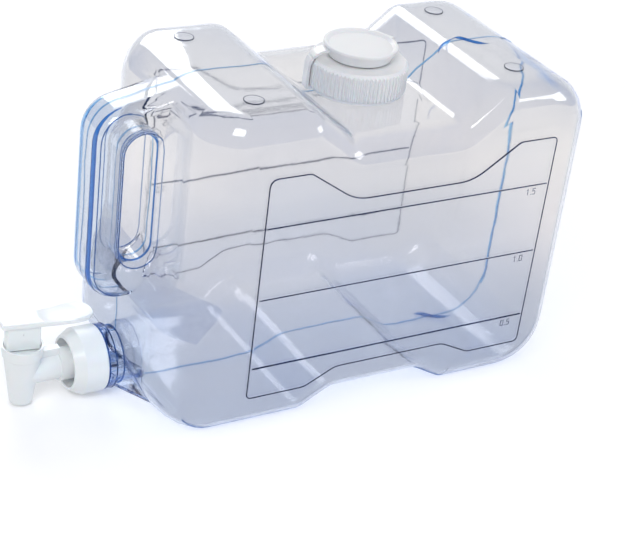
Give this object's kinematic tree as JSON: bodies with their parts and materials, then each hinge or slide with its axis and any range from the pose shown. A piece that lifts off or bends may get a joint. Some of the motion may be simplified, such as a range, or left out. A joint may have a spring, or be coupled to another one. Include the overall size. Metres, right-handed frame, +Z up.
{
  "type": "fresh water tank",
  "caption": "Clear rectangular water container with an end handle, a screw cap with a tethered pour lid, and a lever tap near the base.",
  "frame": {"origin": "on the ground under the middle of the whole tank, tap included", "axes": "+Z up, +X from the tap and handle end to the far end, +Y across the tank"},
  "size_m": [0.352, 0.1522, 0.213],
  "materials": {
    "clear_plastic": "clear, glossy, faintly blue",
    "white_plastic": "satin gloss",
    "grey_rubber": "matt",
    "spring_steel": "bright drawn wire"
  },
  "bodies": {
    "tank": {"tank_body": "clear_plastic", "tap_body": "white_plastic", "tap_nut": "white_plastic", "tap_washer": "grey_rubber", "tap_bonnet": "white_plastic", "stem_seal": "grey_rubber", "valve_spring": "spring_steel"},
    "cap_seal": {"cap_gasket": "grey_rubber"},
    "cap": {"screw_cap": "white_plastic", "tether_strap": "white_plastic"},
    "lid": {"pour_lid": "white_plastic"},
    "stopper": {"valve_stopper": "grey_rubber"},
    "stem": {"valve_stem": "white_plastic", "lever_pin": "spring_steel"},
    "lever": {"tap_lever": "white_plastic"}
  },
  "joints": [
    {"name": "cap_lift", "type": "slide", "parent": "tank", "child": "cap_seal", "axis": [0, 0, 1], "range_m": [0, 0.0076]},
    {"name": "cap_turn", "type": "hinge", "parent": "cap_seal", "child": "cap", "pos_m": [0.048, 0, 0.195], "axis": [0, 0, 1], "range_deg": [0, 540]},
    {"name": "lid_flip", "type": "hinge", "parent": "cap", "child": "lid", "pos_m": [0.01883, 0.0062, 0.20507], "axis": [-0.2079, -0.9781, 0], "range_deg": [0, 130]},
    {"name": "seat_lift", "type": "slide", "parent": "tank", "child": "stopper", "axis": [0, 0, 1], "range_m": [0, 0.00297], "stiffness_N_per_m": 100, "springref_m": -0.004, "deforming": ["valve_spring"]},
    {"name": "lever_swivel", "type": "hinge", "parent": "stopper", "child": "stem", "pos_m": [-0.162, 0, 0.03], "axis": [0, 0, 1], "range_deg": [-180, 180]},
    {"name": "lever_tilt", "type": "hinge", "parent": "stem", "child": "lever", "pos_m": [-0.162, 0, 0.05], "axis": [0, -1, 0], "range_deg": [0, 25]}
  ],
  "couplings": [
    {"joint": "cap_lift", "follows": "cap_turn", "m_per_rad": 0.00079577},
    {"joint": "lever_tilt", "follows": "seat_lift", "rad_per_m": 146.9}
  ]
}
